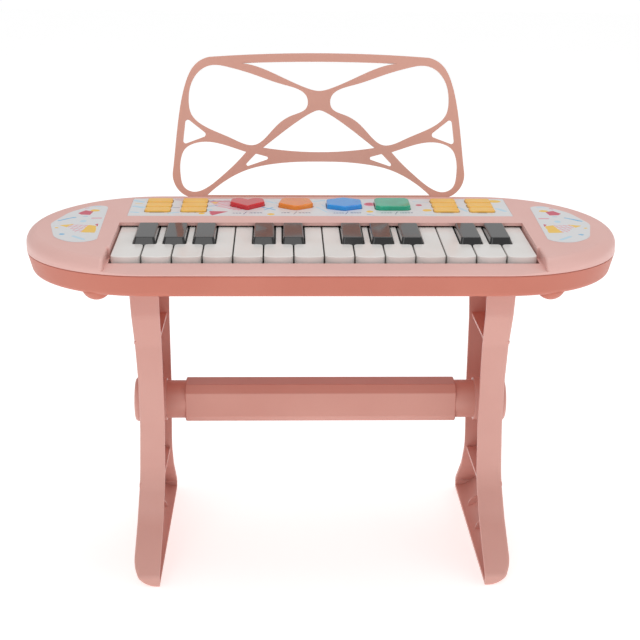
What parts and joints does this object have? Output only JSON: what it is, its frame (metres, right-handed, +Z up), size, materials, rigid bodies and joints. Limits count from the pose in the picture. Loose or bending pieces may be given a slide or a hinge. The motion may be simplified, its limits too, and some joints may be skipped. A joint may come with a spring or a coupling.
{
  "type": "toy electronic keyboard",
  "caption": "Toddler's tabletop keyboard: piano keys, shaped pads, slim buttons and a pierced music rest on a low two-leg stand with a crossbar.",
  "frame": {"origin": "middle of the whole object's plan outline, on the surface that the two legs stand on", "axes": "+X along the keys to the player's right, +Y to the rear, +Z up"},
  "size_m": [0.457, 0.2144, 0.3835],
  "materials": {
    "leg_plastic": "fine satin moulded plastic",
    "crossbar_plastic": "fine satin moulded plastic",
    "screw_steel": "zinc-plated steel",
    "upper_shell_plastic": "fine satin moulded plastic",
    "lower_shell_plastic": "fine satin moulded plastic",
    "panel_film": "printed satin film",
    "sticker_film": "printed satin film",
    "battery_can": "printed sleeve on a steel can",
    "spring_steel": "bright nickel-plated steel",
    "speaker_frame": "black lacquered steel and paper cone",
    "circuit_board": "phenolic board",
    "contact_rubber": "translucent silicone rubber",
    "wire_sleeve": "soft vinyl insulation",
    "rest_plastic": "fine satin moulded plastic",
    "white_key_plastic": "soft gloss moulded plastic",
    "black_key_plastic": "gloss moulded plastic",
    "pad_red_plastic": "gloss moulded plastic",
    "pad_orange_plastic": "gloss moulded plastic",
    "pad_blue_plastic": "gloss moulded plastic",
    "pad_green_plastic": "gloss moulded plastic",
    "button_yellow_plastic": "gloss moulded plastic"
  },
  "bodies": {
    "stand": {"leg_right": "leg_plastic", "leg_left": "leg_plastic", "crossbar_upper": "crossbar_plastic", "crossbar_lower": "crossbar_plastic", "crossbar_screws": "screw_steel"},
    "case": {"upper_shell": "upper_shell_plastic", "lower_shell": "lower_shell_plastic", "graphic_panel": "panel_film", "pod_stickers": "sticker_film", "battery_cover": "lower_shell_plastic", "batteries": "battery_can", "battery_contacts": "spring_steel", "speaker": "speaker_frame", "key_board": "circuit_board", "panel_board": "circuit_board", "contact_mats": "contact_rubber", "wiring": "wire_sleeve", "key_rod": "spring_steel", "case_screws": "screw_steel"},
    "music_rest": {"music_rest": "rest_plastic"},
    "white_key_01": {"white_key_01": "white_key_plastic"},
    "white_key_02": {"white_key_02": "white_key_plastic"},
    "white_key_03": {"white_key_03": "white_key_plastic"},
    "white_key_04": {"white_key_04": "white_key_plastic"},
    "white_key_05": {"white_key_05": "white_key_plastic"},
    "white_key_06": {"white_key_06": "white_key_plastic"},
    "white_key_07": {"white_key_07": "white_key_plastic"},
    "white_key_08": {"white_key_08": "white_key_plastic"},
    "white_key_09": {"white_key_09": "white_key_plastic"},
    "white_key_10": {"white_key_10": "white_key_plastic"},
    "white_key_11": {"white_key_11": "white_key_plastic"},
    "white_key_12": {"white_key_12": "white_key_plastic"},
    "white_key_13": {"white_key_13": "white_key_plastic"},
    "white_key_14": {"white_key_14": "white_key_plastic"},
    "black_key_01": {"black_key_01": "black_key_plastic"},
    "black_key_02": {"black_key_02": "black_key_plastic"},
    "black_key_03": {"black_key_03": "black_key_plastic"},
    "black_key_04": {"black_key_04": "black_key_plastic"},
    "black_key_05": {"black_key_05": "black_key_plastic"},
    "black_key_06": {"black_key_06": "black_key_plastic"},
    "black_key_07": {"black_key_07": "black_key_plastic"},
    "black_key_08": {"black_key_08": "black_key_plastic"},
    "black_key_09": {"black_key_09": "black_key_plastic"},
    "black_key_10": {"black_key_10": "black_key_plastic"},
    "pad_heart": {"pad_heart": "pad_red_plastic"},
    "pad_pentagon": {"pad_pentagon": "pad_orange_plastic"},
    "pad_hexagon": {"pad_hexagon": "pad_blue_plastic"},
    "pad_square": {"pad_square": "pad_green_plastic"},
    "button_1_1": {"button_1_1": "button_yellow_plastic"},
    "button_1_2": {"button_1_2": "button_yellow_plastic"},
    "button_1_3": {"button_1_3": "button_yellow_plastic"},
    "button_2_1": {"button_2_1": "button_yellow_plastic"},
    "button_2_2": {"button_2_2": "button_yellow_plastic"},
    "button_2_3": {"button_2_3": "button_yellow_plastic"},
    "button_3_1": {"button_3_1": "button_yellow_plastic"},
    "button_3_2": {"button_3_2": "button_yellow_plastic"},
    "button_3_3": {"button_3_3": "button_yellow_plastic"},
    "button_4_1": {"button_4_1": "button_yellow_plastic"},
    "button_4_2": {"button_4_2": "button_yellow_plastic"},
    "button_4_3": {"button_4_3": "button_yellow_plastic"}
  },
  "joints": [
    {"name": "case_lift_off", "type": "slide", "parent": "stand", "child": "case", "axis": [0, 0, 1], "range_m": [0, 0.03]},
    {"name": "music_rest_lift_out", "type": "slide", "parent": "case", "child": "music_rest", "axis": [0, 0.1822, 0.9833], "range_m": [0, 0.012]},
    {"name": "white_key_01_press", "type": "hinge", "parent": "case", "child": "white_key_01", "pos_m": [0, 0.02034, 0.25146], "axis": [1, 0, 0], "range_deg": [0, 2.9], "stiffness_Nm_per_rad": 0.5, "springref_deg": -4.58, "deforming": ["contact_mats"]},
    {"name": "white_key_02_press", "type": "hinge", "parent": "case", "child": "white_key_02", "pos_m": [0, 0.02034, 0.25146], "axis": [1, 0, 0], "range_deg": [0, 2.9], "stiffness_Nm_per_rad": 0.5, "springref_deg": -4.58, "deforming": ["contact_mats"]},
    {"name": "white_key_03_press", "type": "hinge", "parent": "case", "child": "white_key_03", "pos_m": [0, 0.02034, 0.25146], "axis": [1, 0, 0], "range_deg": [0, 2.9], "stiffness_Nm_per_rad": 0.5, "springref_deg": -4.58, "deforming": ["contact_mats"]},
    {"name": "white_key_04_press", "type": "hinge", "parent": "case", "child": "white_key_04", "pos_m": [0, 0.02034, 0.25146], "axis": [1, 0, 0], "range_deg": [0, 2.9], "stiffness_Nm_per_rad": 0.5, "springref_deg": -4.58, "deforming": ["contact_mats"]},
    {"name": "white_key_05_press", "type": "hinge", "parent": "case", "child": "white_key_05", "pos_m": [0, 0.02034, 0.25146], "axis": [1, 0, 0], "range_deg": [0, 2.9], "stiffness_Nm_per_rad": 0.5, "springref_deg": -4.58, "deforming": ["contact_mats"]},
    {"name": "white_key_06_press", "type": "hinge", "parent": "case", "child": "white_key_06", "pos_m": [0, 0.02034, 0.25146], "axis": [1, 0, 0], "range_deg": [0, 2.9], "stiffness_Nm_per_rad": 0.5, "springref_deg": -4.58, "deforming": ["contact_mats"]},
    {"name": "white_key_07_press", "type": "hinge", "parent": "case", "child": "white_key_07", "pos_m": [0, 0.02034, 0.25146], "axis": [1, 0, 0], "range_deg": [0, 2.9], "stiffness_Nm_per_rad": 0.5, "springref_deg": -4.58, "deforming": ["contact_mats"]},
    {"name": "white_key_08_press", "type": "hinge", "parent": "case", "child": "white_key_08", "pos_m": [0, 0.02034, 0.25146], "axis": [1, 0, 0], "range_deg": [0, 2.9], "stiffness_Nm_per_rad": 0.5, "springref_deg": -4.58, "deforming": ["contact_mats"]},
    {"name": "white_key_09_press", "type": "hinge", "parent": "case", "child": "white_key_09", "pos_m": [0, 0.02034, 0.25146], "axis": [1, 0, 0], "range_deg": [0, 2.9], "stiffness_Nm_per_rad": 0.5, "springref_deg": -4.58, "deforming": ["contact_mats"]},
    {"name": "white_key_10_press", "type": "hinge", "parent": "case", "child": "white_key_10", "pos_m": [0, 0.02034, 0.25146], "axis": [1, 0, 0], "range_deg": [0, 2.9], "stiffness_Nm_per_rad": 0.5, "springref_deg": -4.58, "deforming": ["contact_mats"]},
    {"name": "white_key_11_press", "type": "hinge", "parent": "case", "child": "white_key_11", "pos_m": [0, 0.02034, 0.25146], "axis": [1, 0, 0], "range_deg": [0, 2.9], "stiffness_Nm_per_rad": 0.5, "springref_deg": -4.58, "deforming": ["contact_mats"]},
    {"name": "white_key_12_press", "type": "hinge", "parent": "case", "child": "white_key_12", "pos_m": [0, 0.02034, 0.25146], "axis": [1, 0, 0], "range_deg": [0, 2.9], "stiffness_Nm_per_rad": 0.5, "springref_deg": -4.58, "deforming": ["contact_mats"]},
    {"name": "white_key_13_press", "type": "hinge", "parent": "case", "child": "white_key_13", "pos_m": [0, 0.02034, 0.25146], "axis": [1, 0, 0], "range_deg": [0, 2.9], "stiffness_Nm_per_rad": 0.5, "springref_deg": -4.58, "deforming": ["contact_mats"]},
    {"name": "white_key_14_press", "type": "hinge", "parent": "case", "child": "white_key_14", "pos_m": [0, 0.02034, 0.25146], "axis": [1, 0, 0], "range_deg": [0, 2.9], "stiffness_Nm_per_rad": 0.5, "springref_deg": -4.58, "deforming": ["contact_mats"]},
    {"name": "black_key_01_press", "type": "hinge", "parent": "case", "child": "black_key_01", "pos_m": [0, 0.02034, 0.25146], "axis": [1, 0, 0], "range_deg": [0, 2.9], "stiffness_Nm_per_rad": 0.5, "springref_deg": -4.58, "deforming": ["contact_mats"]},
    {"name": "black_key_02_press", "type": "hinge", "parent": "case", "child": "black_key_02", "pos_m": [0, 0.02034, 0.25146], "axis": [1, 0, 0], "range_deg": [0, 2.9], "stiffness_Nm_per_rad": 0.5, "springref_deg": -4.58, "deforming": ["contact_mats"]},
    {"name": "black_key_03_press", "type": "hinge", "parent": "case", "child": "black_key_03", "pos_m": [0, 0.02034, 0.25146], "axis": [1, 0, 0], "range_deg": [0, 2.9], "stiffness_Nm_per_rad": 0.5, "springref_deg": -4.58, "deforming": ["contact_mats"]},
    {"name": "black_key_04_press", "type": "hinge", "parent": "case", "child": "black_key_04", "pos_m": [0, 0.02034, 0.25146], "axis": [1, 0, 0], "range_deg": [0, 2.9], "stiffness_Nm_per_rad": 0.5, "springref_deg": -4.58, "deforming": ["contact_mats"]},
    {"name": "black_key_05_press", "type": "hinge", "parent": "case", "child": "black_key_05", "pos_m": [0, 0.02034, 0.25146], "axis": [1, 0, 0], "range_deg": [0, 2.9], "stiffness_Nm_per_rad": 0.5, "springref_deg": -4.58, "deforming": ["contact_mats"]},
    {"name": "black_key_06_press", "type": "hinge", "parent": "case", "child": "black_key_06", "pos_m": [0, 0.02034, 0.25146], "axis": [1, 0, 0], "range_deg": [0, 2.9], "stiffness_Nm_per_rad": 0.5, "springref_deg": -4.58, "deforming": ["contact_mats"]},
    {"name": "black_key_07_press", "type": "hinge", "parent": "case", "child": "black_key_07", "pos_m": [0, 0.02034, 0.25146], "axis": [1, 0, 0], "range_deg": [0, 2.9], "stiffness_Nm_per_rad": 0.5, "springref_deg": -4.58, "deforming": ["contact_mats"]},
    {"name": "black_key_08_press", "type": "hinge", "parent": "case", "child": "black_key_08", "pos_m": [0, 0.02034, 0.25146], "axis": [1, 0, 0], "range_deg": [0, 2.9], "stiffness_Nm_per_rad": 0.5, "springref_deg": -4.58, "deforming": ["contact_mats"]},
    {"name": "black_key_09_press", "type": "hinge", "parent": "case", "child": "black_key_09", "pos_m": [0, 0.02034, 0.25146], "axis": [1, 0, 0], "range_deg": [0, 2.9], "stiffness_Nm_per_rad": 0.5, "springref_deg": -4.58, "deforming": ["contact_mats"]},
    {"name": "black_key_10_press", "type": "hinge", "parent": "case", "child": "black_key_10", "pos_m": [0, 0.02034, 0.25146], "axis": [1, 0, 0], "range_deg": [0, 2.9], "stiffness_Nm_per_rad": 0.5, "springref_deg": -4.58, "deforming": ["contact_mats"]},
    {"name": "pad_heart_press", "type": "slide", "parent": "case", "child": "pad_heart", "axis": [0, 0.048, -0.9988], "range_m": [0, 0.0015], "stiffness_N_per_m": 300, "springref_m": -0.002, "deforming": ["contact_mats"]},
    {"name": "pad_pentagon_press", "type": "slide", "parent": "case", "child": "pad_pentagon", "axis": [0, 0.048, -0.9988], "range_m": [0, 0.0015], "stiffness_N_per_m": 300, "springref_m": -0.002, "deforming": ["contact_mats"]},
    {"name": "pad_hexagon_press", "type": "slide", "parent": "case", "child": "pad_hexagon", "axis": [0, 0.048, -0.9988], "range_m": [0, 0.0015], "stiffness_N_per_m": 300, "springref_m": -0.002, "deforming": ["contact_mats"]},
    {"name": "pad_square_press", "type": "slide", "parent": "case", "child": "pad_square", "axis": [0, 0.048, -0.9988], "range_m": [0, 0.0015], "stiffness_N_per_m": 300, "springref_m": -0.002, "deforming": ["contact_mats"]},
    {"name": "button_1_1_press", "type": "slide", "parent": "case", "child": "button_1_1", "axis": [0, 0.048, -0.9988], "range_m": [0, 0.0015], "stiffness_N_per_m": 300, "springref_m": -0.002, "deforming": ["contact_mats"]},
    {"name": "button_1_2_press", "type": "slide", "parent": "case", "child": "button_1_2", "axis": [0, 0.048, -0.9988], "range_m": [0, 0.0015], "stiffness_N_per_m": 300, "springref_m": -0.002, "deforming": ["contact_mats"]},
    {"name": "button_1_3_press", "type": "slide", "parent": "case", "child": "button_1_3", "axis": [0, 0.048, -0.9988], "range_m": [0, 0.0015], "stiffness_N_per_m": 300, "springref_m": -0.002, "deforming": ["contact_mats"]},
    {"name": "button_2_1_press", "type": "slide", "parent": "case", "child": "button_2_1", "axis": [0, 0.048, -0.9988], "range_m": [0, 0.0015], "stiffness_N_per_m": 300, "springref_m": -0.002, "deforming": ["contact_mats"]},
    {"name": "button_2_2_press", "type": "slide", "parent": "case", "child": "button_2_2", "axis": [0, 0.048, -0.9988], "range_m": [0, 0.0015], "stiffness_N_per_m": 300, "springref_m": -0.002, "deforming": ["contact_mats"]},
    {"name": "button_2_3_press", "type": "slide", "parent": "case", "child": "button_2_3", "axis": [0, 0.048, -0.9988], "range_m": [0, 0.0015], "stiffness_N_per_m": 300, "springref_m": -0.002, "deforming": ["contact_mats"]},
    {"name": "button_3_1_press", "type": "slide", "parent": "case", "child": "button_3_1", "axis": [0, 0.048, -0.9988], "range_m": [0, 0.0015], "stiffness_N_per_m": 300, "springref_m": -0.002, "deforming": ["contact_mats"]},
    {"name": "button_3_2_press", "type": "slide", "parent": "case", "child": "button_3_2", "axis": [0, 0.048, -0.9988], "range_m": [0, 0.0015], "stiffness_N_per_m": 300, "springref_m": -0.002, "deforming": ["contact_mats"]},
    {"name": "button_3_3_press", "type": "slide", "parent": "case", "child": "button_3_3", "axis": [0, 0.048, -0.9988], "range_m": [0, 0.0015], "stiffness_N_per_m": 300, "springref_m": -0.002, "deforming": ["contact_mats"]},
    {"name": "button_4_1_press", "type": "slide", "parent": "case", "child": "button_4_1", "axis": [0, 0.048, -0.9988], "range_m": [0, 0.0015], "stiffness_N_per_m": 300, "springref_m": -0.002, "deforming": ["contact_mats"]},
    {"name": "button_4_2_press", "type": "slide", "parent": "case", "child": "button_4_2", "axis": [0, 0.048, -0.9988], "range_m": [0, 0.0015], "stiffness_N_per_m": 300, "springref_m": -0.002, "deforming": ["contact_mats"]},
    {"name": "button_4_3_press", "type": "slide", "parent": "case", "child": "button_4_3", "axis": [0, 0.048, -0.9988], "range_m": [0, 0.0015], "stiffness_N_per_m": 300, "springref_m": -0.002, "deforming": ["contact_mats"]}
  ]
}
